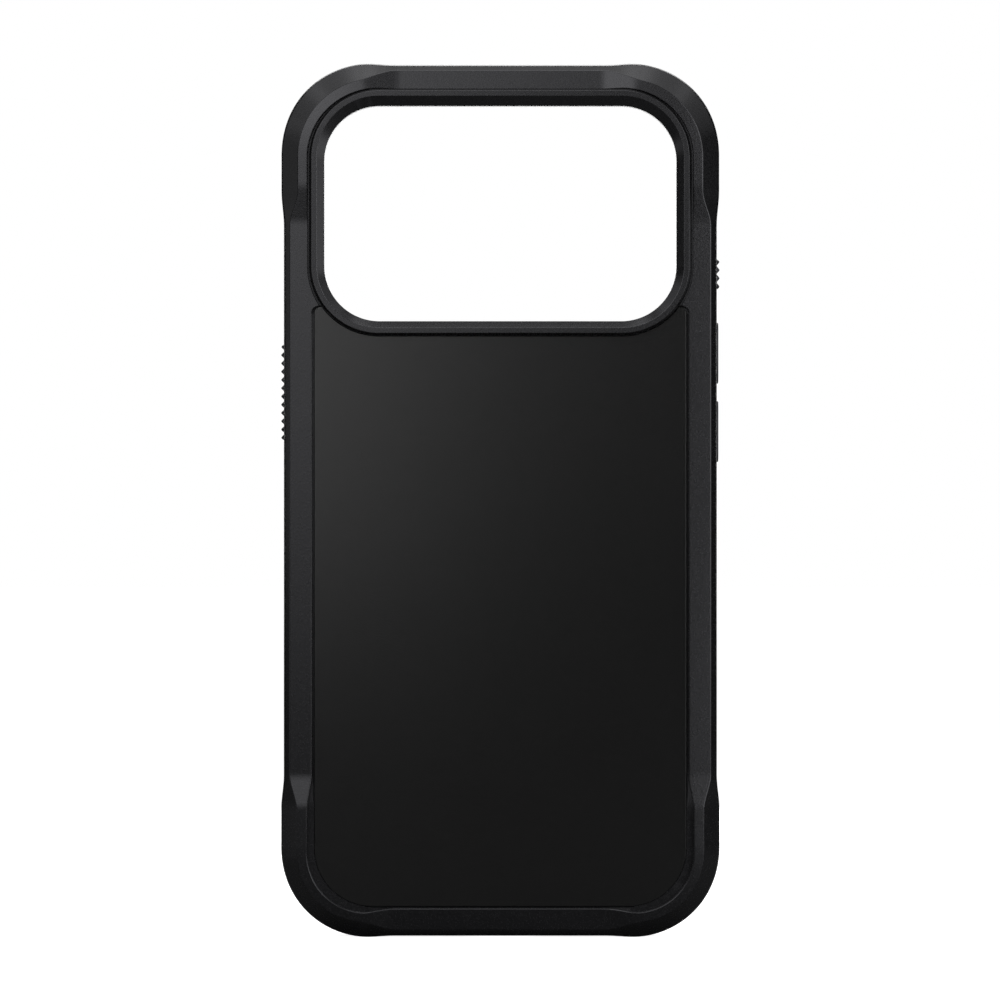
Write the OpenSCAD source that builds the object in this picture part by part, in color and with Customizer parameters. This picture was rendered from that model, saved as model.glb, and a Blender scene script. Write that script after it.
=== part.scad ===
// Rugged phone case: a rubber bumper moulded round a hard tray, with a back panel,
// a camera ring, a magnet ring under the panel, a soft lining and four push buttons.
// It stands as its phone is held upright. X runs to the right as seen from behind, Z runs up,
// and the back of the case faces -Y. The origin is the centre of the space that the phone fills.

/* [Phone bay] */
// Width of the space for the phone
bay_w = 72.3; // [70:0.1:80]
// Height of the space for the phone
bay_h = 150.4; // [145:0.1:170]
// Depth of the space for the phone, from the lining to the front lip
bay_d = 9; // [8:0.1:10]
// Corner radius of the space for the phone
bay_r = 13.8; // [12:0.1:15]

/* [Tray and panel] */
// Thickness of the soft lining
lining_t = 0.4; // [0.3:0.1:0.6]
// Thickness of each adhesive sheet
adhesive_t = 0.1; // [0.05:0.05:0.15]
// Thickness of the tray's side wall
tray_wall = 1.1; // [0.9:0.1:1.3]
// Thickness of the tray's back wall
tray_back = 1.3; // [1.2:0.1:1.6]
// Thickness of the back panel
panel_t = 0.9; // [0.6:0.1:1.2]
// Half the width of the back panel
panel_half_w = 33.35; // [33:0.05:33.5]
// Height of the back panel's lower edge
panel_low = -72.8; // [-73:0.1:-70]
// Height of the back panel's upper edge, beside the camera ring
panel_high = 34.7; // [34:0.1:34.7]
// Radius of the back panel's lower corners
panel_r = 10.4; // [10:0.1:14]

/* [Bumper] */
// How far the bumper stands out past the bay at the sides
side_out = 2.73; // [2.5:0.01:3]
// How far the bumper stands out past the bay at the top and the bottom
end_out = 3; // [2.8:0.05:3.1]
// How far the bumper stands out past the bay where its corners start
corner_out = 3.2; // [3.1:0.01:3.4]
// How much more it stands out halfway round a corner
corner_fill = 0.4; // [0:0.05:0.5]
// How far the front lip stands above the bay
lip_h = 1.2; // [0.8:0.1:1.6]
// How much more the front lip stands out at the corners
lip_rise = 0.45; // [0:0.05:0.6]
// How much more the rear rim stands out at the corners
corner_rise = 0.75; // [0:0.05:0.8]
// Depth of the rear rim's inner edge behind the tray
rim_rise = 1.6; // [1.3:0.1:2]

/* [Camera ring] */
// Half the width of the camera window
window_half_w = 31.55; // [30:0.05:32]
// Height of the camera window's lower edge
window_low = 32.1; // [32:0.1:34]
// Height of the camera window's upper edge
window_high = 70.65; // [68:0.05:71]
// Corner radius of the camera window
window_r = 9.9; // [8:0.1:11]
// Half the outer width of the camera ring
ring_half_w = 34.18; // [33.8:0.02:34.2]
// Height of the camera ring's lower edge
ring_low = 29.62; // [29.5:0.02:30.1]
// Height of the camera ring's upper edge
ring_high = 73.72; // [73:0.02:73.8]
// Outer corner radius of the camera ring
ring_r = 12.4; // [11.5:0.1:12.5]
// How far the camera ring's crest stands behind the tray
ring_rise = 3.1; // [2.5:0.1:3.5]

/* [Magnets] */
// Number of arc magnets in the ring
magnet_count = 18; // [12:1:24]
// Inner radius of the magnet ring
magnet_r_in = 23; // [22.5:0.1:23.5]
// Outer radius of the magnet ring
magnet_r_out = 27; // [26.5:0.1:27.5]
// Thickness of the magnets
magnet_t = 0.65; // [0.5:0.05:0.7]
// Height of the magnet ring's centre
magnet_z = -5; // [-10:0.5:-1]
// Length of the upright alignment magnet
align_len = 17; // [12:0.5:20]

/* [Buttons] */
// Travel of every button
travel = 0.35; // [0.2:0.05:0.4]
// Width of the button caps, front to back
cap_w = 3.7; // [3:0.1:4.2]
// Length of the side button
side_len = 17.8; // [14:0.1:20]
// Height of the side button's middle
side_z = 19.45; // [15:0.05:24]
// Number of ribs on the side button
side_ribs = 12; // [6:1:12]
// Length of each volume button
volume_len = 11; // [9:0.1:12]
// Height of the volume up button's middle
volume_up_z = 26.5; // [25:0.1:29]
// Height of the volume down button's middle
volume_down_z = 12.4; // [10:0.1:13]
// Length of the action button
action_len = 5.9; // [5:0.1:7]
// Height of the action button's middle
action_z = 40.7; // [39:0.1:43]
// Number of ribs on the action button
action_ribs = 4; // [2:1:4]
// Distance from rib to rib
rib_pitch = 1.487; // [1.2:0.001:1.5]
// Height of a rib above the bumper's side
rib_h = 0.5; // [0.3:0.05:0.6]
// How far a smooth cap stands above the bumper's side
cap_proud = 0.3; // [0.2:0.05:0.4]

/* [Ports] */
// Length of the slot for the camera control
control_len = 24; // [20:0.5:28]
// Width of the slot for the camera control
control_w = 5.4; // [5:0.1:6]
// Height of the slot's middle
control_z = -24.5; // [-30:0.5:-22]
// Width of the charging port's opening
port_w = 13.4; // [11:0.1:15]
// Depth of the charging port's opening, front to back
port_d = 6.6; // [6:0.1:7]
// Number of sound holes on each side of the port
sound_holes = 5; // [3:1:5]
// Radius of a sound hole
sound_r = 0.95; // [0.7:0.05:1]
// Distance from sound hole to sound hole
sound_pitch = 2.9; // [2.5:0.1:3]
// Distance of the first sound hole from the middle
sound_first = 11.4; // [11:0.1:12]

/* [Hidden] */

$fn = 64;
half_w = bay_w / 2;
half_h = bay_h / 2;

// Heights of the layers along Y, from the front of the bay to the back of the case
bay_front = bay_d / 2;
bay_back = -bay_d / 2;
lining_back = bay_back - lining_t;
tray_inner = lining_back - adhesive_t;
tray_outer = tray_inner - tray_back;
panel_inner = tray_outer - adhesive_t;
panel_outer = panel_inner - panel_t;
ring_crest = tray_outer - ring_rise;
tray_front = bay_front - 1.15;
wall_gap = 0.05;

// Where the bumper's corners blend into its sides and its ends
side_blend = [49.2, 55.6];
end_blend = [18.8, 25.6];
corner_steps = 14;

// The rear rim reaches in to the camera ring above this height, with a small round inside corner
shoulder_z = 34.9;
shoulder_r = 1.1;
shoulder_in = -5;

// The magnets lie in a pocket in the tray's back wall
pocket_floor = tray_outer + 0.85;
magnet_gap = 0.3;
film_t = 0.1;
magnet_back = pocket_floor - film_t;
align_w = 5.6;
align_z = magnet_z - magnet_r_out - 4 - align_len / 2;

// The ring's neck passes through a window in the tray, and its flange is bonded round that window
ring_neck = 0.4;
neck_grow = 1.15;

// Each cap has a flange inside the bumper's wall, and a plunger behind the flange
flange_edge = 0.6;
flange_t = 0.5;
flange_out = tray_wall;
plunger_in = 0.15;
plunger_w = 2.4;
window_gap = 0.15;
cap_edge = 0.15;
rib_base = 1.4;
rib_tip = 0.3;
cut_reach = 6;

function smooth(a, b, v) = let (t = min(max((v - a) / (b - a), 0), 1)) t * t * (3 - 2 * t);
function mix(a, b, t) = a + (b - a) * t;

// Stations on a round-cornered outline, anticlockwise from the right side's foot, each as
// [x, z, outward normal x, outward normal z]. side and end list the stops on the straight parts.
function arc_stations(cx, cz, r, start, steps) = [
    for (i = [0 : steps]) let (a = start + 90 * i / steps)
        [cx + r * cos(a), cz + r * sin(a), cos(a), sin(a)]
];
function outline(hw, z_low, z_high, r, side, end, steps) = concat(
    [for (z = side) [hw, z, 1, 0]],
    arc_stations(hw - r, z_high - r, r, 0, steps),
    [for (i = [len(end) - 1 : -1 : 0]) [end[i], z_high, 0, 1]],
    arc_stations(r - hw, z_high - r, r, 90, steps),
    [for (i = [len(side) - 1 : -1 : 0]) [-hw, side[i], -1, 0]],
    arc_stations(r - hw, z_low + r, r, 180, steps),
    [for (x = end) [x, z_low, 0, -1]],
    arc_stations(hw - r, z_low + r, r, 270, steps)
);

// A closed band: every ring of points is joined to the next, and the last to the first.
module band(rings) {
    m = len(rings);
    k = len(rings[0]);
    polyhedron(
        points = [for (ring = rings) each ring],
        faces = [
            for (i = [0 : m - 1]) for (j = [0 : k - 1]) let (
                a = i * k + j,
                b = i * k + (j + 1) % k,
                c = (i + 1) % m * k + (j + 1) % k,
                d = (i + 1) % m * k + j
            ) each [[a, b, c], [a, c, d]]
        ]
    );
}

// A plate outline in X and Z, with its own radius at the lower and at the upper corners.
module plate(hw, z_low, z_high, r_low, r_high) {
    translate([-hw, z_low + r_low]) square([2 * hw, z_high - r_high - z_low - r_low]);
    translate([r_low - hw, z_low]) square([2 * (hw - r_low), r_low]);
    translate([r_high - hw, z_high - r_high]) square([2 * (hw - r_high), r_high]);
    for (s = [-1, 1]) {
        translate([s * (hw - r_low), z_low + r_low]) circle(r_low);
        translate([s * (hw - r_high), z_high - r_high]) circle(r_high);
    }
}

// The bay's outline, grown by a margin.
module bay_outline(grow) {
    plate(half_w + grow, -half_h - grow, half_h + grow, bay_r + grow, bay_r + grow);
}

// Extrudes an outline in X and Z between two values of Y.
module slab(y_back, y_front) {
    translate([0, y_front, 0]) rotate([90, 0, 0]) linear_extrude(y_front - y_back) children();
}

// Extrudes an outline in Y and Z outward from the bay's side wall, on the right or the left.
module from_side(right, z, near, far) {
    mirror([right ? 0 : 1, 0, 0])
        translate([half_w + near, 0, z])
            rotate([90, 0, 90]) linear_extrude(far - near) children();
}

// An upright slot outline with round ends.
module upright_slot(w, l) {
    translate([-w / 2, w / 2 - l / 2]) square([w, l - w]);
    for (s = [-1, 1]) translate([0, s * (l - w) / 2]) circle(w / 2);
}

// Stops along the straight parts of the bumper, closer together where its shape changes.
side_low = [for (i = [0 : 6]) -mix(side_blend[1], side_blend[0], i / 6)];
shoulder = [for (a = [0 : 22.5 : 90]) shoulder_z - shoulder_r + shoulder_r * sin(a)];
side_high = [for (i = [0 : 6]) mix(side_blend[0], side_blend[1], i / 6)];
side_stops = concat([shoulder_r - half_h + bay_r], side_low, shoulder, [shoulder_z + 0.01], side_high);
end_stops = [-21.2, -20, end_blend[0] * -1, end_blend[0], 20, 21.2];

// How far in the rear rim reaches at a station, from the bay's outline.
mid_in = -2.35;
function rim_in(x, z, nx, nz, w) =
    z > shoulder_z ? shoulder_in :
    z > shoulder_z - shoulder_r ?
        mid_in - shoulder_r + sqrt(max(0, pow(shoulder_r, 2) - pow(z - shoulder_z + shoulder_r, 2))) :
    mix(mix(mid_in, -2.05, abs(nz)), mix(-1.5, -1.3, abs(nz)) + 0.7 * fullness(nx, nz), w);

// 0 where a corner starts and 1 halfway round it.
function fullness(nx, nz) = pow(abs(2 * nx * nz), 1.4);

// The bumper's section at a station: the lip, the outer side, the rear rim, then the inside.
function bumper_section(s) = let (
    w = smooth(end_blend[0], end_blend[1], abs(s[0])) * smooth(side_blend[0], side_blend[1], abs(s[1])),
    full = fullness(s[2], s[3]),
    end = abs(s[3]),
    out = mix(mix(side_out, end_out, end), corner_out + 0.13 * end + corner_fill * full, w),
    crease = mix(mix(1.62, 1.83, end), s[1] < 0 ? 0.35 + 0.8 * full : 0.2, w),
    in = rim_in(s[0], s[1], s[2], s[3], w),
    rim = tray_outer - rim_rise - corner_rise * w,
    lip = bay_front + lip_h + lip_rise * w,
    section = [
        [-1, bay_front], [-0.7, lip - 0.4], [0, lip], [mix(1.2, 1.4, w), lip],
        [out - mix(0.35, 0.5, w), bay_front + 0.45], [out, bay_front - 0.7],
        [out, mix(bay_back - 0.1, bay_back + 0.5, w)], [out - 0.27, mix(bay_back - 1.5, bay_back - 0.4, w)],
        [crease, rim + 0.42], [in, rim], [in - mix(0.15, 0.6, w), tray_outer],
        [tray_wall + wall_gap, tray_outer], [tray_wall + wall_gap, tray_front + wall_gap],
        [0.03, tray_front + wall_gap], [0.03, bay_front]
    ]
) [for (p = section) [s[0] + s[2] * p[0], p[1], s[1] + s[3] * p[0]]];

// The windows, slots and holes that pass through the wall, each with its own clearance.
module wall_cuts(near, far, grow) {
    from_side(false, side_z, near, far) upright_slot(cap_w + 2 * grow, side_len + 2 * grow);
    from_side(true, volume_up_z, near, far) upright_slot(cap_w + 2 * grow, volume_len + 2 * grow);
    from_side(true, volume_down_z, near, far) upright_slot(cap_w + 2 * grow, volume_len + 2 * grow);
    from_side(true, action_z, near, far) upright_slot(cap_w + 2 * grow, action_len + 2 * grow);
}

module port_cuts() {
    from_side(false, control_z, -0.5, cut_reach) upright_slot(control_w, control_len);
    translate([0, 0, -half_h - cut_reach]) linear_extrude(cut_reach + 0.5) {
        rotate(90) upright_slot(port_d, port_w);
        for (s = [-1, 1]) for (i = [0 : sound_holes - 1])
            translate([s * (sound_first + i * sound_pitch), 0]) circle(sound_r);
    }
}

module bumper_frame() color([0.09, 0.09, 0.095]) difference() {
    band([
        for (s = outline(half_w, -half_h, half_h, bay_r, side_stops, end_stops, corner_steps))
            bumper_section(s)
    ]);
    slab(tray_outer - cut_reach, tray_outer + 0.01)
        plate(ring_half_w + 0.35, ring_low - 0.3, ring_high + 0.08, ring_r + 0.3, ring_r);
    wall_cuts(tray_wall, cut_reach, window_gap);
    port_cuts();
}

module hard_tray() color([0.07, 0.07, 0.075]) difference() {
    slab(tray_outer, tray_front) bay_outline(tray_wall);
    slab(tray_inner, tray_front + 1) bay_outline(0);
    slab(tray_outer - 1, tray_inner + 1) neck_outline(0);
    slab(tray_outer - 1, pocket_floor) magnet_pocket();
    wall_cuts(-0.5, tray_wall + 0.5, flange_edge + 0.2);
    port_cuts();
}

module magnet_pocket() {
    translate([0, magnet_z]) difference() {
        circle(magnet_r_out + magnet_gap);
        circle(magnet_r_in - magnet_gap);
    }
    translate([0, align_z])
        square([align_w + 2 * magnet_gap, align_len + 2 * magnet_gap], center = true);
}

module panel_outline(shrink) difference() {
    plate(panel_half_w - shrink, panel_low + shrink, panel_high - shrink, panel_r - shrink, 1);
    plate(ring_half_w + 0.15, ring_low - 0.15 - shrink, ring_high + 1, ring_r + 0.15, ring_r);
}

module back_panel() color([0.05, 0.05, 0.05])
    slab(panel_outer, panel_inner) panel_outline(0);

module panel_adhesive() color([0.75, 0.74, 0.7])
    slab(panel_inner, tray_outer) panel_outline(0.6);

// The ring's section runs from the window's edge, at 0, to the ring's outer edge, at 1.
module camera_ring() color([0.13, 0.13, 0.135]) {
    section = [
        [0, tray_inner], [0, ring_crest + 1.25], [0.49, ring_crest + 0.04], [0.52, ring_crest],
        [0.85, ring_crest], [0.88, ring_crest + 0.05], [1, ring_crest + 0.8], [1, panel_inner],
        [ring_neck, panel_inner], [ring_neck, tray_inner]
    ];
    inner = outline(window_half_w, window_low, window_high, window_r, [0.5 * (window_low + window_high)], [0], 12);
    outer = outline(ring_half_w, ring_low, ring_high, ring_r, [0.5 * (ring_low + ring_high)], [0], 12);
    band([
        for (i = [0 : len(inner) - 1]) [
            for (p = section)
                [mix(inner[i][0], outer[i][0], p[0]), p[1], mix(inner[i][1], outer[i][1], p[0])]
        ]
    ]);
}

// The tray's window for the ring's neck, grown by a margin.
module neck_outline(grow) {
    r = window_r + 1 + grow;
    plate(window_half_w + neck_grow + grow, window_low - 1.05 - grow, window_high + 1.28 + grow, r, r);
}

module ring_adhesive() color([0.75, 0.74, 0.7]) slab(panel_inner, tray_outer) difference() {
    plate(ring_half_w - 0.3, ring_low + 0.3, ring_high - 0.3, ring_r - 0.3, ring_r - 0.3);
    neck_outline(0.1);
}

module lining_outline(shrink) difference() {
    bay_outline(-0.3 - shrink);
    plate(window_half_w + 1.8 + shrink, window_low - 1.8 - shrink, window_high + 1.6, window_r + 1.6, window_r);
}

module lining() color([0.16, 0.16, 0.17])
    slab(lining_back, bay_back) lining_outline(0);

module lining_adhesive() color([0.75, 0.74, 0.7])
    slab(tray_inner, lining_back) lining_outline(0.8);

module magnet_ring() color([0.62, 0.62, 0.64]) {
    step = 360 / magnet_count;
    gap_angle = 1.6;
    translate([0, magnet_back, magnet_z]) rotate([90, 0, 0])
        for (i = [0 : magnet_count - 1]) rotate(i * step)
            rotate_extrude(angle = step - gap_angle)
                translate([magnet_r_in, 0]) square([magnet_r_out - magnet_r_in, magnet_t]);
}

module alignment_magnet() color([0.62, 0.62, 0.64])
    slab(magnet_back - magnet_t, magnet_back)
        translate([0, align_z]) square([align_w, align_len], center = true);

module magnet_film() color([0.85, 0.85, 0.8])
    slab(magnet_back, pocket_floor) translate([0, magnet_z]) difference() {
        circle(magnet_r_out);
        circle(magnet_r_in);
    }

module alignment_film() color([0.85, 0.85, 0.8])
    slab(magnet_back, pocket_floor)
        translate([0, align_z]) square([align_w, align_len], center = true);

// A button cap: a flange inside the wall, a stem through it, and a smooth or a ribbed face.
module button_cap(right, z, length, ribs) color([0.16, 0.16, 0.17]) {
    face = side_out + (ribs > 0 ? 0.02 : cap_proud);
    from_side(right, z, flange_out - flange_t, flange_out)
        upright_slot(cap_w + 2 * flange_edge, length + 2 * flange_edge);
    from_side(right, z, flange_out, face - cap_edge) upright_slot(cap_w, length);
    from_side(right, z, face - cap_edge, face)
        upright_slot(cap_w - 2 * cap_edge, length - 2 * cap_edge);
    if (ribs > 0) intersection() {
        from_side(right, z, face - cap_edge, cut_reach) upright_slot(cap_w - 0.3, length - 0.2);
        mirror([right ? 0 : 1, 0, 0]) translate([half_w + face - 0.05, cap_w / 2, z])
            rotate([90, 0, 0]) linear_extrude(cap_w)
                for (i = [0 : ribs - 1]) translate([0, (i - (ribs - 1) / 2) * rib_pitch])
                    polygon([
                        [0, -rib_base / 2], [rib_h, -rib_tip / 2], [rib_h, rib_tip / 2],
                        [0, rib_base / 2]
                    ]);
    }
}

// A plunger: the soft pad between a cap's flange and the phone's own button.
module button_plunger(right, z, length) color([0.1, 0.1, 0.1])
    from_side(right, z, plunger_in, flange_out - flange_t)
        upright_slot(plunger_w, min(length, length * 0.5 + 3));

bumper_frame();
hard_tray();
back_panel();
panel_adhesive();
camera_ring();
ring_adhesive();
lining();
lining_adhesive();
magnet_ring();
magnet_film();
alignment_magnet();
alignment_film();
button_cap(false, side_z, side_len, side_ribs);  // side_button_cap
button_plunger(false, side_z, side_len);  // side_button_plunger
button_cap(true, volume_up_z, volume_len, 0);  // volume_up_cap
button_plunger(true, volume_up_z, volume_len);  // volume_up_plunger
button_cap(true, volume_down_z, volume_len, 0);  // volume_down_cap
button_plunger(true, volume_down_z, volume_len);  // volume_down_plunger
button_cap(true, action_z, action_len, action_ribs);  // action_button_cap
button_plunger(true, action_z, action_len);  // action_button_plunger
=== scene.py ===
import math

import bmesh
import bpy
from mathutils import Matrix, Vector


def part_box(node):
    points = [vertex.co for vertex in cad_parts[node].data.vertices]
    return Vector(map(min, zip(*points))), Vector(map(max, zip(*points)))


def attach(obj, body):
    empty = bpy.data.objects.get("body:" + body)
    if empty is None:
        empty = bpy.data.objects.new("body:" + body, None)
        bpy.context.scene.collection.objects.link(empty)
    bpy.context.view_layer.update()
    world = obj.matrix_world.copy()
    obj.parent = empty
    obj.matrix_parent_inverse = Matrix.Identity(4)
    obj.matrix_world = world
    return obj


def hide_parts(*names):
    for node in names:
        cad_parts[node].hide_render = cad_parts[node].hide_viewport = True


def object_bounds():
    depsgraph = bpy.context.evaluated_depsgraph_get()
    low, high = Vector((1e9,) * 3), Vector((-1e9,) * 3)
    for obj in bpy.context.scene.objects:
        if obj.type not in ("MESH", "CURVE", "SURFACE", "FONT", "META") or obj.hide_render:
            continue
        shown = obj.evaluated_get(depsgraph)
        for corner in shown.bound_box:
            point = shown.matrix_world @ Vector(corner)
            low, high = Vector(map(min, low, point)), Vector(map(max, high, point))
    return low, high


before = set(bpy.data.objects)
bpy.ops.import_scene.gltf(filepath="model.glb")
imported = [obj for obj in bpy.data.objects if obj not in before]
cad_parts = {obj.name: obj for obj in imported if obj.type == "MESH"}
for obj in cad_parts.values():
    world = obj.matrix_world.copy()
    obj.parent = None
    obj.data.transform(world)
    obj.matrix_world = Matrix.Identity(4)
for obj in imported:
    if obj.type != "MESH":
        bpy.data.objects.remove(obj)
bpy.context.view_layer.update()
print("frame loaded:", len(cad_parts), "nodes")

mm = 0.001


def nodeBox(name):
    low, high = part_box(name)
    return Vector(low) / mm, Vector(high) / mm


# Everything below is in millimetres until a mesh is made. n is the distance out from the phone
# bay's outline, and y is the depth, with the back of the case towards -Y.
trayLow, trayHigh = nodeBox("hard_tray")
trayWall = 1.1
bay = {
    "halfW": trayHigh.x - trayWall, "halfH": trayHigh.z - trayWall, "radius": 13.8,
    "front": trayHigh.y + 1.15,    # the tray's wall stops this far short of the bay's front
}


def mix(a, b, t):
    return a + (b - a) * t


def smooth(a, b, v):
    t = min(max((v - a) / (b - a), 0), 1)
    return t * t * (3 - 2 * t)


def ramp(a, b, v, soft):
    # a straight ramp from 0 at a to 1 at b, its two folds rounded over soft
    def bend(x):
        if abs(x) >= soft:
            return max(x, 0)
        return (x + soft) ** 2 / (4 * soft)
    return (bend(v - a) - bend(v - b)) / (b - a)


def stops(*spans):
    # evenly spaced stops over each (start, end, steps) in turn
    found = []
    for start, end, steps in spans:
        found += [mix(start, end, i / steps) for i in range(steps)]
    return found + [spans[-1][1]]


def arcStations(cx, cz, radius, start, steps):
    found = []
    for i in range(steps + 1):
        a = math.radians(start + 90 * i / steps)
        found.append((cx + radius * math.cos(a), cz + radius * math.sin(a), math.cos(a), math.sin(a)))
    return found


def outline(halfW, low, high, radius, side, end, steps):
    # stations (x, z, normal x, normal z) round a round-cornered oblong, anticlockwise
    inner = halfW - radius
    found = [(halfW, z, 1, 0) for z in side]
    found += arcStations(inner, high - radius, radius, 0, steps)
    found += [(x, high, 0, 1) for x in reversed(end)]
    found += arcStations(-inner, high - radius, radius, 90, steps)
    found += [(-halfW, z, -1, 0) for z in reversed(side)]
    found += arcStations(-inner, low + radius, radius, 180, steps)
    found += [(x, low, 0, -1) for x in end]
    return found + arcStations(inner, low + radius, radius, 270, steps)


def filleted(corners, steps):
    # a closed section with each corner (n, y, radius) rounded by steps + 1 points
    found = []
    for i, (n, y, radius) in enumerate(corners):
        here = Vector((n, y))
        before = Vector(corners[i - 1][:2]) - here
        after = Vector(corners[(i + 1) % len(corners)][:2]) - here
        half = before.angle(after) / 2
        reach = min(radius / math.tan(half), 0.46 * before.length, 0.46 * after.length)
        first = here + before.normalized() * reach
        last = here + after.normalized() * reach
        for k in range(steps + 1):
            t = k / steps
            found.append(first * (1 - t) ** 2 + here * 2 * t * (1 - t) + last * t ** 2)
    return found


def shapeFrom(name, verts, faces):
    mesh = bpy.data.meshes.new(name)
    mesh.from_pydata([Vector(v) * mm for v in verts], [], faces)
    mesh.validate()
    outward(mesh)
    mesh.shade_smooth()
    return addObject(name, mesh)


def addObject(name, data):
    thing = bpy.data.objects.new(name, data)
    bpy.context.collection.objects.link(thing)
    return thing


def enrol(piece, body, material, stands):
    # one visible piece: its material, the body it rides, and the node it stands for
    piece.data.materials.append(material)
    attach(piece, body)
    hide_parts(stands)


def makePiece(name, verts, faces, body, material, stands):
    piece = shapeFrom(name, verts, faces)
    enrol(piece, body, material, stands)
    return piece


def outward(mesh):
    form = bmesh.new()
    form.from_mesh(mesh)
    bmesh.ops.recalc_face_normals(form, faces=form.faces)
    form.to_mesh(mesh)
    form.free()


def bandFaces(rings, perRing):
    # quads that join each ring of points to the next, and the last to the first
    faces = []
    for i in range(rings):
        for j in range(perRing):
            a, b = i * perRing, (i + 1) % rings * perRing
            k = (j + 1) % perRing
            faces.append((a + j, a + k, b + k, b + j))
    return faces


def steadyNormals(piece):
    # broad faces keep their own normals, so that only the small rounds catch the light
    weigh = piece.modifiers.new("steadyNormals", "WEIGHTED_NORMAL")
    weigh.mode = "FACE_AREA_WITH_ANGLE"
    weigh.weight = 90
    weigh.keep_sharp = True


def sharpen(piece, degrees):
    # edges that turn more than this stay sharp
    form = bmesh.new()
    form.from_mesh(piece.data)
    for edge in form.edges:
        if len(edge.link_faces) == 2:
            edge.smooth = edge.calc_face_angle(0) < math.radians(degrees)
    form.to_mesh(piece.data)
    form.free()


def newMaterial(name):
    material = bpy.data.materials.new(name)
    material.use_nodes = True
    nodes = material.node_tree.nodes
    links = material.node_tree.links
    shader = nodes["Principled BSDF"]
    place = nodes.new("ShaderNodeTexCoord")
    return material, nodes, links, shader, place.outputs["Object"]


def noise(nodes, links, place, perMetre, detail=3, rough=0.55):
    texture = nodes.new("ShaderNodeTexNoise")
    texture.inputs["Scale"].default_value = perMetre
    texture.inputs["Detail"].default_value = detail
    texture.inputs["Roughness"].default_value = rough
    links.new(place, texture.inputs["Vector"])
    return texture.outputs["Fac"]


def spread(nodes, links, value, low, high, fromLow=0.3, fromHigh=0.7):
    span = nodes.new("ShaderNodeMapRange")
    span.inputs["From Min"].default_value = fromLow
    span.inputs["From Max"].default_value = fromHigh
    span.inputs["To Min"].default_value = low
    span.inputs["To Max"].default_value = high
    links.new(value, span.inputs["Value"])
    return span.outputs["Result"]


def blendColour(nodes, links, amount, first, second):
    blend = nodes.new("ShaderNodeMix")
    blend.data_type = "RGBA"
    blend.inputs["A"].default_value = (*first, 1)
    blend.inputs["B"].default_value = (*second, 1)
    links.new(amount, blend.inputs["Factor"])
    return blend.outputs["Result"]


def grainBump(nodes, links, shader, height, strength, depth):
    bump = nodes.new("ShaderNodeBump")
    bump.inputs["Strength"].default_value = strength
    bump.inputs["Distance"].default_value = depth * mm
    links.new(height, bump.inputs["Height"])
    links.new(bump.outputs["Normal"], shader.inputs["Normal"])


speckSpan = (0.5, 1.5)      # how far the grain darkens and lightens the colour
paintedEdgeSpan = (0.52, 0.62)     # how sharp an edge has to be to take the painted highlight


def mouldedFinish(name, look):
    # a moulded surface: a fine grain, slow colour and gloss drift, and a painted highlight that lightens
    # the colour of sharp edges
    material, nodes, links, shader, place = newMaterial(name)
    grain = noise(nodes, links, place, look["grain"], 2, 0.6)
    drift = noise(nodes, links, place, look["drift"], 3)
    edges = nodes.new("ShaderNodeNewGeometry").outputs["Pointiness"]
    edge = spread(nodes, links, edges, 0, 1, *paintedEdgeSpan)
    colour = blendColour(nodes, links, spread(nodes, links, drift, 0, 1), look["dark"], look["light"])
    speck = nodes.new("ShaderNodeMix")
    speck.data_type = "RGBA"
    speck.blend_type = "MULTIPLY"
    speck.inputs["Factor"].default_value = 1
    links.new(colour, speck.inputs["A"])
    links.new(spread(nodes, links, grain, *speckSpan), speck.inputs["B"])
    # sharp edges blend towards the look's edge colour: a painted highlight
    paintedEdgeHighlight = nodes.new("ShaderNodeMix")
    paintedEdgeHighlight.data_type = "RGBA"
    paintedEdgeHighlight.inputs["B"].default_value = (*look["edge"], 1)
    links.new(speck.outputs["Result"], paintedEdgeHighlight.inputs["A"])
    links.new(edge, paintedEdgeHighlight.inputs["Factor"])
    links.new(paintedEdgeHighlight.outputs["Result"], shader.inputs["Base Color"])
    gloss = nodes.new("ShaderNodeMath")
    gloss.operation = "MULTIPLY_ADD"
    gloss.inputs[1].default_value = look["roughDrift"]
    gloss.inputs[2].default_value = look["rough"] - look["roughDrift"] / 2
    links.new(grain, gloss.inputs[0])
    links.new(gloss.outputs[0], shader.inputs["Roughness"])
    shader.inputs["Specular IOR Level"].default_value = look["specular"]
    shader.inputs["Specular Tint"].default_value = (*look["tint"], 1)
    grainBump(nodes, links, shader, grain, look["bump"], look["depth"])
    return material


# in each look, edge is the lighter colour of the painted highlight on sharp edges
bumperLook = {
    "dark": (0.0062, 0.0062, 0.0067), "light": (0.0078, 0.0078, 0.0084), "edge": (0.012, 0.012, 0.013),
    "grain": 3300, "drift": 60, "rough": 0.26, "roughDrift": 0.1, "specular": 0.5,
    "tint": (0.95, 0.95, 1.0), "bump": 0.7, "depth": 0.016,
}
panelLook = {
    "dark": (0.0018, 0.0018, 0.0018), "light": (0.0026, 0.0026, 0.0026), "edge": (0.004, 0.004, 0.004),
    "grain": 3300, "drift": 45, "rough": 0.235, "roughDrift": 0.1, "specular": 0.72,
    "tint": (1.0, 1.0, 1.0), "bump": 0.7, "depth": 0.016,
}
ringLook = {
    "dark": (0.0045, 0.0045, 0.0048), "light": (0.0060, 0.0060, 0.0064), "edge": (0.011, 0.011, 0.012),
    "grain": 3300, "drift": 70, "rough": 0.27, "roughDrift": 0.1, "specular": 0.66,
    "tint": (0.95, 0.95, 1.0), "bump": 0.5, "depth": 0.010,
}
trayLook = {
    "dark": (0.0060, 0.0060, 0.0064), "light": (0.0080, 0.0080, 0.0085), "edge": (0.012, 0.012, 0.013),
    "grain": 4200, "drift": 50, "rough": 0.42, "roughDrift": 0.12, "specular": 0.5,
    "tint": (0.96, 0.96, 1.0), "bump": 0.4, "depth": 0.010,
}
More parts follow.
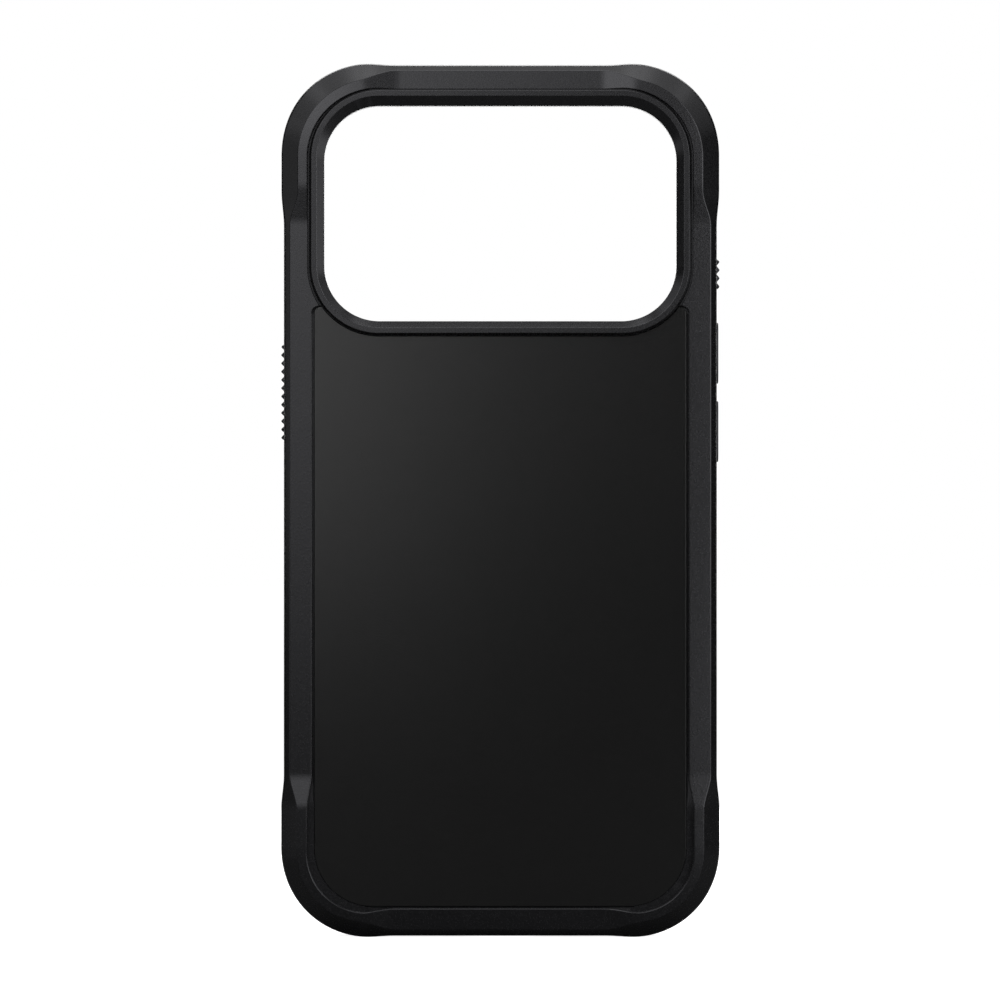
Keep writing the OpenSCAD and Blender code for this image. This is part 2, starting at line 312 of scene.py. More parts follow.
plungerLook = {
    "dark": (0.010, 0.010, 0.010), "light": (0.014, 0.014, 0.014), "edge": (0.018, 0.018, 0.018),
    "grain": 3800, "drift": 120, "rough": 0.62, "roughDrift": 0.1, "specular": 0.4,
    "tint": (1.0, 1.0, 1.0), "bump": 0.5, "depth": 0.012,
}

bumperRubber = mouldedFinish("bumperRubber", bumperLook)
softTouch = mouldedFinish("softTouchPanel", panelLook)
ringPlastic = mouldedFinish("ringPlastic", ringLook)
trayPlastic = mouldedFinish("trayPlastic", trayLook)
plungerRubber = mouldedFinish("plungerRubber", plungerLook)


def anodisedFinish(name, look):
    # bead-blasted metal under a dyed anodic layer
    material, nodes, links, shader, place = newMaterial(name)
    blast = noise(nodes, links, place, look["blast"], 2, 0.7)
    drift = noise(nodes, links, place, look["drift"], 2)
    colour = blendColour(nodes, links, spread(nodes, links, drift, 0, 1), look["dark"], look["light"])
    links.new(colour, shader.inputs["Base Color"])
    shader.inputs["Metallic"].default_value = look["metal"]
    shader.inputs["Specular IOR Level"].default_value = look["specular"]
    links.new(spread(nodes, links, blast, look["roughLow"], look["roughHigh"]), shader.inputs["Roughness"])
    grainBump(nodes, links, shader, blast, look["bump"], look["depth"])
    return material


buttonLook = {
    "dark": (0.030, 0.030, 0.034), "light": (0.042, 0.042, 0.047), "metal": 0.75, "specular": 0.5,
    "blast": 7000, "drift": 200, "roughLow": 0.34, "roughHigh": 0.44, "bump": 0.35, "depth": 0.006,
}
magnetLook = {
    "dark": (0.52, 0.51, 0.50), "light": (0.60, 0.59, 0.58), "metal": 1.0, "specular": 0.5,
    "blast": 2500, "drift": 120, "roughLow": 0.18, "roughHigh": 0.3, "bump": 0.2, "depth": 0.004,
}
buttonMetal = anodisedFinish("buttonMetal", buttonLook)
magnetNickel = anodisedFinish("magnetNickel", magnetLook)


def filmFinish(name, look):
    # a thin sheet of glue or film, cloudy and a little uneven
    material, nodes, links, shader, place = newMaterial(name)
    cloud = noise(nodes, links, place, look["cloud"], 4)
    links.new(
        blendColour(nodes, links, spread(nodes, links, cloud, 0, 1), look["dark"], look["light"]),
        shader.inputs["Base Color"],
    )
    links.new(spread(nodes, links, cloud, look["roughLow"], look["roughHigh"]), shader.inputs["Roughness"])
    grainBump(nodes, links, shader, cloud, look["bump"], look["depth"])
    return material


glueLook = {
    "dark": (0.50, 0.48, 0.44), "light": (0.62, 0.60, 0.56), "cloud": 300,
    "roughLow": 0.3, "roughHigh": 0.5, "bump": 0.3, "depth": 0.01,
}
filmLook = {
    "dark": (0.66, 0.66, 0.62), "light": (0.76, 0.76, 0.71), "cloud": 180,
    "roughLow": 0.25, "roughHigh": 0.4, "bump": 0.3, "depth": 0.01,
}
glue = filmFinish("glue", glueLook)
film = filmFinish("film", filmLook)


def liningFinish(name, look):
    # short brushed fibres: streaky clumps over a fine fuzz, with a soft sheen
    material, nodes, links, shader, place = newMaterial(name)
    brushed = nodes.new("ShaderNodeMapping")
    brushed.inputs["Scale"].default_value = look["stretch"]
    links.new(place, brushed.inputs["Vector"])
    clump = noise(nodes, links, brushed.outputs["Vector"], look["clump"], 4, 0.6)
    fuzz = noise(nodes, links, brushed.outputs["Vector"], look["fuzz"], 2, 0.7)
    height = nodes.new("ShaderNodeMath")
    height.operation = "MULTIPLY_ADD"
    height.inputs[1].default_value = look["clumpShare"]
    links.new(clump, height.inputs[0])
    links.new(fuzz, height.inputs[2])
    raised = spread(nodes, links, height.outputs[0], 0, 1, *look["pileSpan"])
    links.new(blendColour(nodes, links, raised, look["dark"], look["light"]), shader.inputs["Base Color"])
    shader.inputs["Roughness"].default_value = look["rough"]
    shader.inputs["Specular IOR Level"].default_value = look["specular"]
    shader.inputs["Sheen Weight"].default_value = look["sheen"]
    shader.inputs["Sheen Roughness"].default_value = look["sheenRough"]
    shader.inputs["Sheen Tint"].default_value = (*look["sheenTint"], 1)
    grainBump(nodes, links, shader, height.outputs[0], look["bump"], look["depth"])
    return material


liningLook = {
    "dark": (0.010, 0.010, 0.011), "light": (0.030, 0.030, 0.033), "stretch": (1.6, 1.0, 0.7),
    "clump": 900, "fuzz": 5200, "clumpShare": 0.6, "pileSpan": (0.6, 1.0), "rough": 0.95, "specular": 0.15,
    "sheen": 0.25, "sheenRough": 0.4, "sheenTint": (0.8, 0.8, 0.85), "bump": 0.9, "depth": 0.06,
}
liningFibre = liningFinish("liningFibre", liningLook)
print("finishes made")


bumper = {
    "sideOut": 2.73, "endOut": 3.0,                         # how far it stands out past the bay
    "sideBlend": (49.2, 55.6), "endBlend": (18.8, 25.6),    # where the corners swell in plan
    "fold": 0.7,                                            # how soft the ramp's folds are
    "rimRise": 1.6, "rimClimb": 0.75, "rimTilt": 0.106,
    "lipRise": 1.2, "lipClimb": 0.45,
    "sideCrease": 1.62, "sideIn": -2.35, "footIn": -2.05,
    "shoulder": 34.9, "shoulderRound": 1.5,
    "ringLedge": -7.75, "panelLedge": -6.7, "cornerLedge": -7.15,
    "creaseRound": 0.3, "edgeRound": 0.22,
    # each pair below is a value along the straights and one at the corners
    "lipFlat": (1.2, 1.4), "lipSlope": (0.35, 0.5), "bandBack": (-4.6, -4.0), "bandRound": (1.6, 0.8),
    "foldIn": (0.28, 0.25), "foldBack": (-6.0, -4.9),
    # and each pair here is a value at the sides and one at the ends
    "ringGap": (0.42, 0.06), "ledgeWidth": (0.35, 0.25),
    "ledgeGap": 0.04, "trayGap": 0.05, "cutFrom": 0.6,
}
# The corners at the top and at the foot differ. The rim climbs to them along sideRamp and endRamp,
# they stand out by out, and their crease lies at crease, each with a bulge halfway round.
cornerTop = {
    "sideRamp": (50.0, 56.3), "endRamp": (18.5, 24.3), "endCrease": 1.85,
    "out": (3.17, 3.33, 0.4, 1.5), "crease": (0.15, 0.35, 0, 1),
}
cornerFoot = {
    "sideRamp": (49.5, 54.8), "endRamp": (19.6, 23.4), "endCrease": 1.80,
    "out": (3.23, 3.33, 0.5, 1.3), "crease": (0.35, 0.35, 0.8, 1.3), "in": (-1.5, -1.3, 0.7, 1.3),
}

ring = {
    "bevel": 0.34, "bevelDrop": 0.8, "crestWidth": 0.95, "crestRound": 0.09, "innerRound": 0.16,
    "wall": 1.25, "radius": 12.4, "windowHalfW": 31.55, "windowLow": 32.1, "windowHigh": 70.65,
    "windowRadius": 9.9, "neck": 0.4, "neckDepth": 1.3, "seat": 0.1,
}
ringLow, ringHigh = nodeBox("camera_ring")
ringCentreX = ringHigh.x - ring["radius"]
ringCentreZ = ringLow.z + ring["radius"]
panelLow, panelHigh = nodeBox("back_panel")
panel = {"round": 0.11, "cornerRadius": 1.1, "footRadius": 10.4, "gap": 0.15}


def cornerWeight(x, z, side, end, soft=None):
    if soft is None:
        return smooth(*end, abs(x)) * smooth(*side, abs(z))
    return ramp(*end, abs(x), soft) * ramp(*side, abs(z), soft)


def bulged(shape, nx, nz):
    # a value at the corner's side end, its other end, and a bulge halfway round
    side, end, bulge, power = shape
    return mix(side, end, abs(nz)) + bulge * abs(2 * nx * nz) ** power


def reachTo(x, z, nx, nz, halfW, low, high, radius):
    # where the normal from a station meets a round-cornered oblong
    n = 0
    for _ in range(16):
        across = abs(x + nx * n) - halfW + radius
        up = abs(z + nz * n - (low + high) / 2) - (high - low) / 2 + radius
        n -= math.hypot(max(across, 0), max(up, 0)) + min(max(across, up), 0) - radius
    return n


def ringReach(x, z, nx, nz, grow):
    return reachTo(
        x, z, nx, nz, ringHigh.x + grow, ringLow.z - grow, ringHigh.z + grow, ring["radius"] + grow
    )


def rimIn(x, z, nx, nz, w):
    # how far in the rear rim reaches from the bay's outline
    if z > bumper["shoulder"]:
        return ringReach(x, z, nx, nz, mix(*bumper["ringGap"], nz * nz))
    if z > bumper["shoulder"] - bumper["shoulderRound"]:
        r = bumper["shoulderRound"]
        rise = z - bumper["shoulder"] + r
        return bumper["sideIn"] - r + math.sqrt(max(0, r * r - rise * rise))
    return mix(mix(bumper["sideIn"], bumper["footIn"], abs(nz)), bulged(cornerFoot["in"], nx, nz), w)


def ledge(x, z, nx, nz, w, inner):
    # the step between the rim and the ring, or the panel: how far in it reaches, and its depth
    if z > bumper["shoulder"]:
        return min(inner - 0.05, ringReach(x, z, nx, nz, bumper["ringGap"][1])), bumper["ringLedge"]
    corner = reachTo(x, z, nx, nz, panelHigh.x, panelLow.z, panelHigh.z, panel["footRadius"])
    reach = mix(inner - mix(*bumper["ledgeWidth"], abs(nz)), corner + bumper["ledgeGap"], w)
    return reach, mix(bumper["panelLedge"], bumper["cornerLedge"], w)


def bumperSection(x, z, nx, nz):
    corner = cornerTop if z > 0 else cornerFoot
    w = cornerWeight(x, z, bumper["sideBlend"], bumper["endBlend"])
    climb = cornerWeight(x, z, corner["sideRamp"], corner["endRamp"], bumper["fold"])
    out = mix(mix(bumper["sideOut"], bumper["endOut"], abs(nz)), bulged(corner["out"], nx, nz), w)
    crease = mix(
        mix(bumper["sideCrease"], corner["endCrease"], abs(nz)), bulged(corner["crease"], nx, nz), w
    )
    inner = rimIn(x, z, nx, nz, w)
    ledgeIn, ledgeY = ledge(x, z, nx, nz, w, inner)
    back = trayLow.y
    rim = back - bumper["rimRise"] - bumper["rimClimb"] * climb - bumper["rimTilt"] * bumper["sideIn"]
    lip = bay["front"] + bumper["lipRise"] + bumper["lipClimb"] * climb
    front = bay["front"]
    seat = trayWall + bumper["trayGap"]
    seatFront = trayHigh.y + bumper["trayGap"]
    return filleted([
        (-1.0, front + 0.02, 0.08),
        (-0.72, lip - 0.42, 0.4),
        (0.0, lip, 0.45),
        (mix(*bumper["lipFlat"], w), lip, 1.0),
        (out - mix(*bumper["lipSlope"], w), front + 0.45, 0.9),
        (out, front - 0.9, 1.2),
        (out, mix(*bumper["bandBack"], w), mix(*bumper["bandRound"], w)),
        (out - mix(*bumper["foldIn"], w), mix(*bumper["foldBack"], w), mix(*bumper["bandRound"], w)),
        (crease, rim + bumper["rimTilt"] * crease, bumper["creaseRound"]),
        (inner, rim + bumper["rimTilt"] * inner, bumper["edgeRound"]),
        (inner - 0.03, ledgeY, 0.02),
        (ledgeIn, ledgeY, 0.02),
        (ledgeIn, back + 0.02, 0.02),
        (seat, back + 0.02, 0.04),
        (seat, seatFront, 0.04),
        (0.03, seatFront, 0.04),
        (0.03, front + 0.02, 0.02),
    ], 5)


def bumperStations():
    # close together where the corners swell and where the rim steps in to the ring
    straightZ = bay["halfH"] - bay["radius"]
    straightX = bay["halfW"] - bay["radius"]
    shoulder, r = bumper["shoulder"], bumper["shoulderRound"]
    side = stops(
        (-straightZ + 0.3, -57, 10), (-57, -48, 40), (-48, shoulder - r, 30),
        (shoulder - r, shoulder, 16), (shoulder + 0.01, ringCentreZ, 26), (ringCentreZ + 0.05, 48, 8),
        (48, 57.4, 40), (57.4, straightZ - 0.3, 8),
    )
    end = stops((-straightX + 0.2, -17, 26), (-17, 17, 14), (17, straightX - 0.2, 26))
    return outline(bay["halfW"], -bay["halfH"], bay["halfH"], bay["radius"], side, end, 44)


def stadium(width, length, steps):
    # a slot outline with round ends, as (across, along, normal across, normal along)
    r = width / 2
    found = []
    for i in range(steps + 1):
        a = math.pi * i / steps
        found.append((r * math.cos(a), length / 2 - r + r * math.sin(a), math.cos(a), math.sin(a)))
    return found + [(-u, -v, -nu, -nv) for u, v, nu, nv in found]


def cutter(width, length, place, flare, wall, out):
    # a slot-shaped cutter whose mouth flares open in a round of radius flare
    base = stadium(width, length, 20)
    layers = [(0, wall), (0, out - flare)]
    for i in range(1, 7):
        a = math.pi / 2 * i / 6
        layers.append((flare * (1 - math.cos(a)), out - flare + flare * math.sin(a)))
    layers.append((flare + 0.4, out + 0.4))
    layers.append((flare + 0.4, out + 1.5))
    verts = [place(u + nu * grow, v + nv * grow, n) for grow, n in layers for u, v, nu, nv in base]
    count = len(base)
    faces = [tuple(range(count - 1, -1, -1)), tuple(range(len(verts) - count, len(verts)))]
    for i in range(len(layers) - 1):
        for j in range(count):
            k = (j + 1) % count
            faces.append((i * count + j, i * count + k, (i + 1) * count + k, (i + 1) * count + j))
    return verts, faces


def joinShapes(shapes):
    verts, faces = [], []
    for someVerts, someFaces in shapes:
        faces += [tuple(i + len(verts) for i in face) for face in someFaces]
        verts += someVerts
    return verts, faces


def sideWall(right, middle):
    sign = 1 if right else -1
    return lambda u, v, n: (sign * (bay["halfW"] + n), u, middle + v)


def footWall(middle):
    return lambda u, v, n: (middle + v, u, -bay["halfH"] - n)


buttons = {
    "side_button": {"right": False, "ribs": 12, "face": -0.13, "ribHeight": 0.78},
    "action_button": {"right": True, "ribs": 4, "face": 0.02, "ribHeight": 0.62},
    "volume_up": {"right": True, "ribs": 0, "face": 0.36, "ribHeight": 0},
    "volume_down": {"right": True, "ribs": 0, "face": 0.36, "ribHeight": 0},
}
capEdge = {
    "width": 3.7, "flange": 0.6, "flangeThick": 0.5, "clear": 0.15, "round": 0.2, "mouth": 0.35,
    "chamfer": 0.05,
}
for key, button in buttons.items():
    low, high = nodeBox(key + "_cap")
    button["middle"] = (low.z + high.z) / 2
    button["length"] = high.z - low.z - 2 * capEdge["flange"]

ports = {
    "control": {"length": 24, "width": 5.4, "middle": -24.5, "flare": 0.8},
    "plug": {"length": 13.4, "width": 6.6, "flare": 0.35},
    "sound": {"radius": 0.95, "first": 11.4, "pitch": 2.9, "count": 5, "flare": 0.18, "swell": 0.12},
}


def makeBumper():
    stations = bumperStations()
    verts = []
    for x, z, nx, nz in stations:
        section = bumperSection(x, z, nx, nz)
        verts += [(x + nx * p.x, p.y, z + nz * p.x) for p in section]
    faces = bandFaces(len(stations), len(section))
    piece = makePiece("bumper", verts, faces, "case", bumperRubber, "bumper_frame")

    shapes = []
    clear = 2 * capEdge["clear"]
    for button in buttons.values():
        place = sideWall(button["right"], button["middle"])
        shapes.append(cutter(
            capEdge["width"] + clear, button["length"] + clear, place, capEdge["mouth"], bumper["cutFrom"],
            bumper["sideOut"],
        ))
    control, plug, sound = ports["control"], ports["plug"], ports["sound"]
    shapes.append(cutter(
        control["width"], control["length"], sideWall(False, control["middle"]), control["flare"],
        bumper["cutFrom"], bumper["sideOut"],
    ))
    shapes.append(cutter(
        plug["width"], plug["length"], footWall(0), plug["flare"], bumper["cutFrom"], bumper["endOut"],
    ))
    for side in (-1, 1):
        for i in range(sound["count"]):
            middle = side * (sound["first"] + i * sound["pitch"])
            shapes.append(cutter(
                2 * sound["radius"], 2 * sound["radius"] + 0.001, footWall(middle), sound["flare"],
                bumper["cutFrom"], bumper["endOut"] + sound["swell"] * max(0, i - 2),
            ))
    verts, faces = joinShapes(shapes)
    tool = shapeFrom("bumperCutters", verts, faces)
    cut = piece.modifiers.new("openings", "BOOLEAN")
    cut.operation = "DIFFERENCE"
    cut.solver = "EXACT"
    cut.object = tool
    applyModifiers(piece)
    bpy.data.objects.remove(tool)
    piece.data.shade_smooth()
    sharpen(piece, 50)
    steadyNormals(piece)


def applyModifiers(piece):
    # the evaluated mesh takes the place of the piece's own, and its modifiers go
    depsgraph = bpy.context.evaluated_depsgraph_get()
    mesh = bpy.data.meshes.new_from_object(piece.evaluated_get(depsgraph))
    piece.modifiers.clear()
    piece.data = mesh


makeBumper()
print("bumper made")


def makeRing():
    side, end = stops((45, 60, 2)), stops((-20, 20, 4))
    inner = outline(
        ring["windowHalfW"], ring["windowLow"], ring["windowHigh"], ring["windowRadius"], side, end, 40
    )
    outer = outline(ringHigh.x, ringLow.z, ringHigh.z, ring["radius"], side, end, 40)
    crest = ringLow.y
    foot = trayLow.y - ring["seat"]
    back = trayLow.y + ring["neckDepth"]
    bevel = ring["bevel"]
    verts = []
    for a, b in zip(inner, outer):
        start, end = Vector((a[0], a[1])), Vector((b[0], b[1]))
        along = end - start
        width = along.length
        ridge = width - bevel - ring["crestWidth"]
        neck = ring["neck"] * width
        section = filleted([
            (0, back, 0.05),
            (0, crest + ring["wall"], 0.15),
            (ridge, crest + 0.02, ring["innerRound"]),
            (width - bevel, crest, ring["crestRound"]),
            (width, crest + ring["bevelDrop"], 0.08),
            (width, foot, 0.02),
            (neck, foot, 0.02),
            (neck, back, 0.05),
        ], 5)
        for p in section:
            at = start + along * (p.x / width)
            verts.append((at.x, p.y, at.y))
    faces = bandFaces(len(inner), len(section))
    piece = makePiece("cameraRing", verts, faces, "case", ringPlastic, "camera_ring")
    steadyNormals(piece)


makeRing()
print("camera ring made")


def panelOutline():
    half, foot, top = panelHigh.x, panelLow.z, panelHigh.z
    r, big = panel["cornerRadius"], panel["footRadius"]
    points = [(s[0], s[1]) for s in arcStations(half - big, foot + big, big, 270, 40)]
    points += [(s[0], s[1]) for s in arcStations(half - r, top - r, r, 0, 10)]
    # down and round the ring's lower edge to the middle
    reach = ring["radius"] + panel["gap"]
    meet = math.degrees(math.asin((ringCentreZ - top) / reach))
    for i in range(31):
        a = math.radians(-mix(meet, 90, i / 30))
        points.append((ringCentreX + reach * math.cos(a), ringCentreZ + reach * math.sin(a)))
    return points + [(-x, z) for x, z in reversed(points)]


def platePiece(name, loops, thick, body, material, stands, roundOff):
    # a flat plate between two depths from an outline, with any holes, and softened edges
    back, front = thick
    form = bmesh.new()
    edges = []
    for loop in loops:
        verts = [form.verts.new(Vector((x, back, z)) * mm) for x, z in loop]
        edges += [form.edges.new((verts[i - 1], verts[i])) for i in range(len(verts))]
    bmesh.ops.triangle_fill(form, edges=edges, use_beauty=True, use_dissolve=False)
    bmesh.ops.dissolve_limit(form, angle_limit=0.01, verts=form.verts, edges=form.edges)
    grown = bmesh.ops.extrude_face_region(form, geom=form.faces[:])
    moved = [g for g in grown["geom"] if isinstance(g, bmesh.types.BMVert)]
    bmesh.ops.translate(form, vec=Vector((0, (front - back) * mm, 0)), verts=moved)
    mesh = bpy.data.meshes.new(name)
    form.to_mesh(mesh)
    form.free()
    outward(mesh)
    piece = addObject(name, mesh)
    mesh.shade_smooth()
    bevel = piece.modifiers.new("softEdges", "BEVEL")
    bevel.width = roundOff * mm
    bevel.segments = 4
    bevel.limit_method = "ANGLE"
    bevel.angle_limit = math.radians(50)
    bevel.use_clamp_overlap = False
    steadyNormals(piece)
    enrol(piece, body, material, stands)
    return piece


platePiece(
    "backPanel", [panelOutline()], (panelLow.y, panelHigh.y), "case", softTouch,
    "back_panel", panel["round"],
)
print("back panel made")


lining = {"windowGrow": 1.8, "windowTop": 1.6, "windowRound": 1.2, "clear": 0.3, "round": 0.14}
liningLow, liningHigh = nodeBox("lining")


def loopOf(halfW, low, high, radius):
    return [(s[0], s[1]) for s in outline(halfW, low, high, radius, [], [], 24)]


def makeLining():
    grow = lining["windowGrow"]
    edge = loopOf(liningHigh.x, liningLow.z, liningHigh.z, bay["radius"] - lining["clear"])
    window = loopOf(
        ring["windowHalfW"] + grow, ring["windowLow"] - grow, ring["windowHigh"] + lining["windowTop"],
        ring["windowRadius"] + lining["windowRound"],
    )
    piece = platePiece(
        "lining", [edge, window], (liningLow.y, liningHigh.y), "case", liningFibre,
        "lining", lining["round"],
    )


makeLining()
print("lining made")


ribShape = {"pitch": 1.487, "tip": 0.2, "fade": 0.45}
plungerFoot = 0.15    # the plungers stop this far short of the phone's side


def ribRise(v, ribs, height):
    # rounded ridges side by side
    place = v / ribShape["pitch"] + (ribs - 1) / 2
    nearest = min(max(round(place), 0), ribs - 1)
    off = abs(place - nearest) * ribShape["pitch"]
    slope = height / (ribShape["pitch"] / 2)
    tip = ribShape["tip"]
    if off < tip:
        return height - slope * (off * off / (2 * tip) + tip / 2)
    return max(0, height - slope * off)


def edgeInset(u, v, width, length):
    # distance in from the edge of the slot outline
    r = width / 2
    return r - math.hypot(u, max(0, abs(v) - (length / 2 - r)))


def capShape(button, width, length, face, roundOff, layers):
    # a slot-shaped pad: a face built row by row, then walls down through the given layers
    right, middle = button["right"], button["middle"]
    place = sideWall(right, middle)
    r = width / 2
    ribs = button["ribs"]
    rowCount = 18 * max(ribs, 1)
    rows = []
    straight = length / 2 - r
    for i in range(1, 13):
        rows.append(-straight - r * math.cos(math.pi / 2 * i / 12))
    rows += [mix(-straight, straight, i / rowCount) for i in range(1, rowCount)]
    rows += [-v for v in reversed(rows[:12])]
    across = [math.sin(math.pi / 2 * mix(-1, 1, k / 20)) for k in range(21)]
    verts, faces = [], []
    for v in rows:
        half = math.sqrt(max(r * r - max(0, abs(v) - straight) ** 2, 1e-6))
        for s in across:
            u = s * half
            inset = max(0, edgeInset(u, v, width, length))
            drop = 0
            if inset < roundOff:
                drop = roundOff - math.sqrt(roundOff ** 2 - (roundOff - inset) ** 2)
            rise = 0
            if ribs:
                rise = ribRise(v, ribs, button["ribHeight"]) * smooth(0, ribShape["fade"], inset)
            verts.append(place(u, v, face - drop + rise))
    wide = len(across)
    for i in range(len(rows) - 1):
        for k in range(wide - 1):
            a = i * wide + k
            faces.append((a, a + 1, a + wide + 1, a + wide))
    # the edge of the face in order: up one side, across the end, down the other
    last = len(rows) - 1
    rimLoop = [i * wide + wide - 1 for i in range(len(rows))]
    rimLoop += [last * wide + k for k in range(wide - 2, -1, -1)]
    rimLoop += [i * wide for i in range(last - 1, -1, -1)]
    rimLoop += [k for k in range(1, wide - 1)]
    spots = []
    for index in rimLoop:
        i, k = divmod(index, wide)
        v = rows[i]
        half = math.sqrt(max(r * r - max(0, abs(v) - straight) ** 2, 1e-6))
        u = across[k] * half
        over = math.copysign(max(0, abs(v) - straight), v)
        away = math.hypot(u, over) or 1
        if abs(v) <= straight:
            spots.append((u, v, math.copysign(1, u), 0))
        else:
            spots.append((u, v, u / away, over / away))
    previous = rimLoop
    for grow, n in layers:
        start = len(verts)
        for u, v, nu, nv in spots:
            verts.append(place(u + nu * grow, v + nv * grow, n))
        count = len(spots)
        current = list(range(start, start + count))
        for j in range(count):
            k = (j + 1) % count
            faces.append((previous[j], previous[k], current[k], current[j]))
        previous = current
    faces.append(tuple(reversed(previous)))
    return verts, faces


def makeButton(key, button):
    body = key if key.endswith("_button") else key + "_button"
    flange, chamfer = capEdge["flange"], capEdge["chamfer"]
    inside = trayWall - capEdge["flangeThick"]
    face = bumper["sideOut"] + button["face"]
    verts, faces = capShape(
        button, capEdge["width"], button["length"], face, capEdge["round"],
        [(0, trayWall + 0.06), (0.04, trayWall), (flange - chamfer, trayWall), (flange, trayWall - chamfer),
         (flange, inside + chamfer), (flange - chamfer, inside)],
    )
    cap = makePiece(body + "Cap", verts, faces, body, buttonMetal, key + "_cap")
    sharpen(cap, 40)
    steadyNormals(cap)
    low, high = nodeBox(key + "_plunger")
    pad = {"right": button["right"], "middle": button["middle"], "ribs": 0}
    verts, faces = capShape(
        pad, high.y - low.y, high.z - low.z, inside, chamfer,
        [(0, plungerFoot + 0.1), (-0.1, plungerFoot)],
    )
    plunger = makePiece(
        body + "Plunger", verts, faces, body, plungerRubber, key + "_plunger"
    )
    sharpen(plunger, 40)
    steadyNormals(plunger)


for key, button in buttons.items():
    makeButton(key, button)
print("buttons made")


# the frame's own pieces keep their shape and take a finish
kept = {
    "hard_tray": trayPlastic, "panel_adhesive": glue, "ring_adhesive": glue, "lining_adhesive": glue,
    "magnet_ring": magnetNickel, "alignment_magnet": magnetNickel, "magnet_film": film,
    "alignment_film": film,
}
for name, material in kept.items():
    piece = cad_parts[name]
    for index in range(max(1, len(piece.material_slots))):
        if not piece.material_slots:
            piece.data.materials.append(material)
        piece.material_slots[index].material = material
print("kept pieces finished")


stage = {
    "floorRadius": 6.0, "lens": 300, "sensor": 36, "across": 179.6, "front": -4.6,
    "centre": (-0.06, 0.06), "floorPale": 0.9, "floorShow": 0.93, "floorFade": (0.05, 0.35),
    "floorBounce": 0.12, "world": 0.01,
}


def makeFloor():
    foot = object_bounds()[0].z
    form = bmesh.new()
    bmesh.ops.create_circle(form, cap_ends=True, segments=128, radius=stage["floorRadius"])
    mesh = bpy.data.meshes.new("floor")
    form.to_mesh(mesh)
    form.free()
    floor = addObject("floor", mesh)
    floor.location = (0, 0, foot)
    material = bpy.data.materials.new("paleFloor")
    material.use_nodes = True
    nodes, links = material.node_tree.nodes, material.node_tree.links
    nodes.clear()
    out = nodes.new("ShaderNodeOutputMaterial")
    seen = nodes.new("ShaderNodeLightPath")
    pale = nodes.new("ShaderNodeBsdfDiffuse")
    pale.inputs["Color"].default_value = (stage["floorPale"],) * 3 + (1,)
    lift = nodes.new("ShaderNodeEmission")
    # the floor shows brighter with distance, so that only a faint shadow stays near the case
    length = nodes.new("ShaderNodeVectorMath")
    length.operation = "LENGTH"
    links.new(nodes.new("ShaderNodeTexCoord").outputs["Object"], length.inputs[0])
    rise = spread(nodes, links, length.outputs["Value"], stage["floorShow"], 1.0, *stage["floorFade"])
    links.new(rise, lift.inputs["Strength"])
    both = nodes.new("ShaderNodeAddShader")
    dull = nodes.new("ShaderNodeBsdfDiffuse")
    dull.inputs["Color"].default_value = (stage["floorBounce"],) * 3 + (1,)
    choose = nodes.new("ShaderNodeMixShader")
    links.new(pale.outputs[0], both.inputs[0])
    links.new(lift.outputs[0], both.inputs[1])
    links.new(seen.outputs["Is Camera Ray"], choose.inputs["Fac"])
    links.new(dull.outputs[0], choose.inputs[1])
    links.new(both.outputs[0], choose.inputs[2])
    links.new(choose.outputs[0], out.inputs["Surface"])
    mesh.materials.append(material)


def makeWorld():
    world = bpy.data.worlds.new("studio")
    bpy.context.scene.world = world
    world.use_nodes = True
    nodes, links = world.node_tree.nodes, world.node_tree.links
    nodes.clear()
    out = nodes.new("ShaderNodeOutputWorld")
    seen = nodes.new("ShaderNodeLightPath")
    lightSide = nodes.new("ShaderNodeBackground")
    lightSide.inputs["Strength"].default_value = stage["world"]
    backdrop = nodes.new("ShaderNodeBackground")
    choose = nodes.new("ShaderNodeMixShader")
    for node in (lightSide, backdrop):
        node.inputs["Color"].default_value = (1, 1, 1, 1)
    links.new(seen.outputs["Is Camera Ray"], choose.inputs["Fac"])
    links.new(lightSide.outputs[0], choose.inputs[1])
    links.new(backdrop.outputs[0], choose.inputs[2])
    links.new(choose.outputs[0], out.inputs["Surface"])


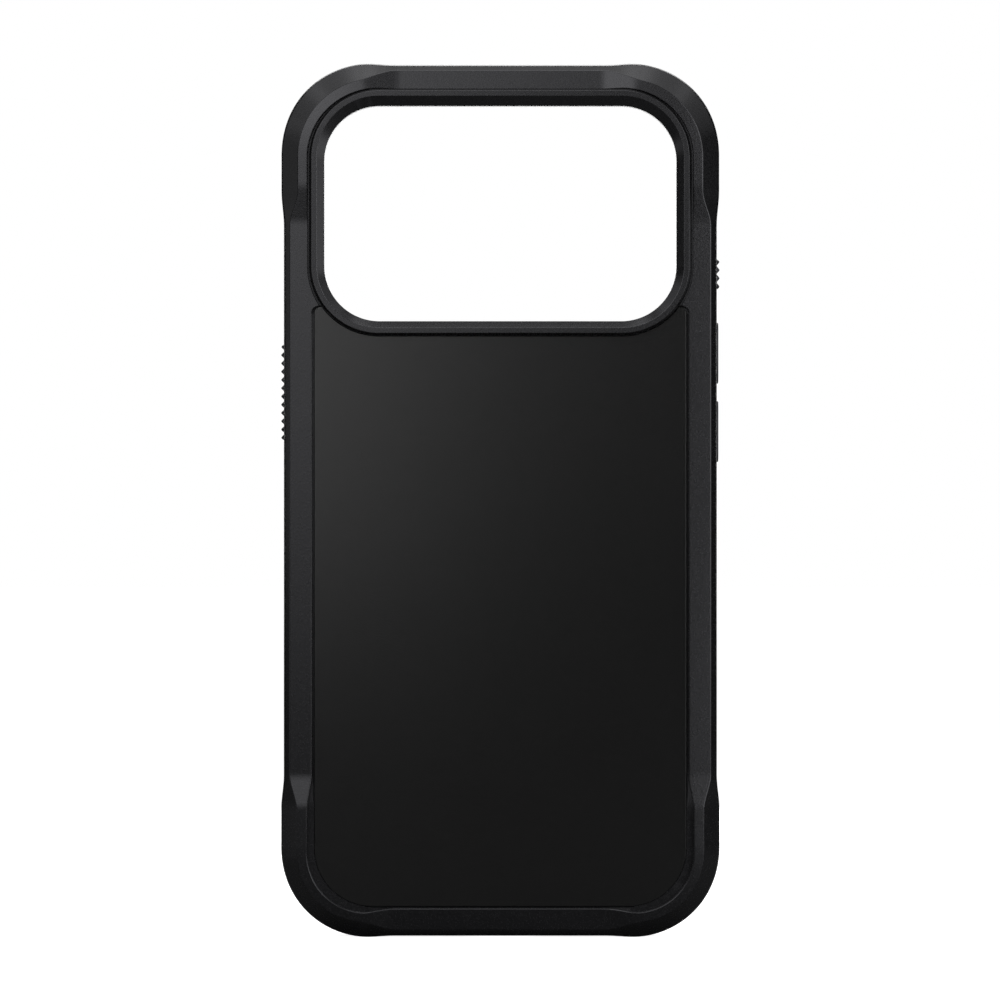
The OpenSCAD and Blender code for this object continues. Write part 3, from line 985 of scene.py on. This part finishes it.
lights = [
    # name, degrees round from the back (right is positive), degrees up, distance, size, watts
    ("windowLeft", -20, 15, 0.45, 0.28, 0.27),
    ("highLeft", -30, 30, 0.45, 0.28, 0.29),
    ("highMiddle", -8, 30, 0.45, 0.28, 0.16),
    ("sideLeft", -85, -15, 0.45, 0.28, 0.14),
    ("sideMiddleLeft", -105, 15, 0.45, 0.28, 0.06),
    ("sideHighLeft", -80, 40, 0.45, 0.28, 0.18),
    ("topLeft", -95, 65, 0.45, 0.28, 0.12),
    ("behindLeft", -135, 60, 0.45, 0.28, 0.07),
    ("overhead", 0, 85, 0.20, 0.10, 0.05),
    ("topMiddle", 0, 65, 0.45, 0.28, 0.28),
    ("behind", 180, 70, 0.60, 0.40, 0.21),
    ("front", 180, 15, 0.60, 0.40, 1.20),
    ("windowRight", 40, 15, 0.45, 0.28, 0.78),
    ("lowRight", 35, -15, 0.27, 0.12, 0.06),
    ("sideRight", 75, 5, 0.25, 0.14, 0.065),
    ("sideHighRight", 80, 40, 0.45, 0.28, 0.13),
    ("topRight", 95, 65, 0.45, 0.28, 0.12),
    ("behindRight", 135, 60, 0.45, 0.28, 0.06),
]


def makeLight(name, round, up, distance, size, watts):
    data = bpy.data.lights.new(name, "AREA")
    data.shape = "SQUARE"
    data.size = size
    data.energy = watts
    lamp = addObject(name, data)
    turn, lift = math.radians(round), math.radians(up)
    lamp.location = (
        distance * math.sin(turn) * math.cos(lift), -distance * math.cos(turn) * math.cos(lift),
        distance * math.sin(lift),
    )
    lamp.rotation_euler = (-lamp.location).to_track_quat("-Z", "Y").to_euler()
    lamp.visible_camera = False


def makeCamera():
    data = bpy.data.cameras.new("camera")
    data.lens = stage["lens"]
    data.sensor_width = stage["sensor"]
    camera = addObject("camera", data)
    away = stage["across"] * mm * stage["lens"] / stage["sensor"]
    x, z = stage["centre"]
    camera.location = (x * mm, stage["front"] * mm - away, z * mm)
    camera.rotation_euler = (math.pi / 2, 0, 0)
    bpy.context.scene.camera = camera


makeFloor()
makeWorld()
for light in lights:
    makeLight(*light)
makeCamera()
bpy.context.scene.view_settings.view_transform = "Standard"
print("stage made")
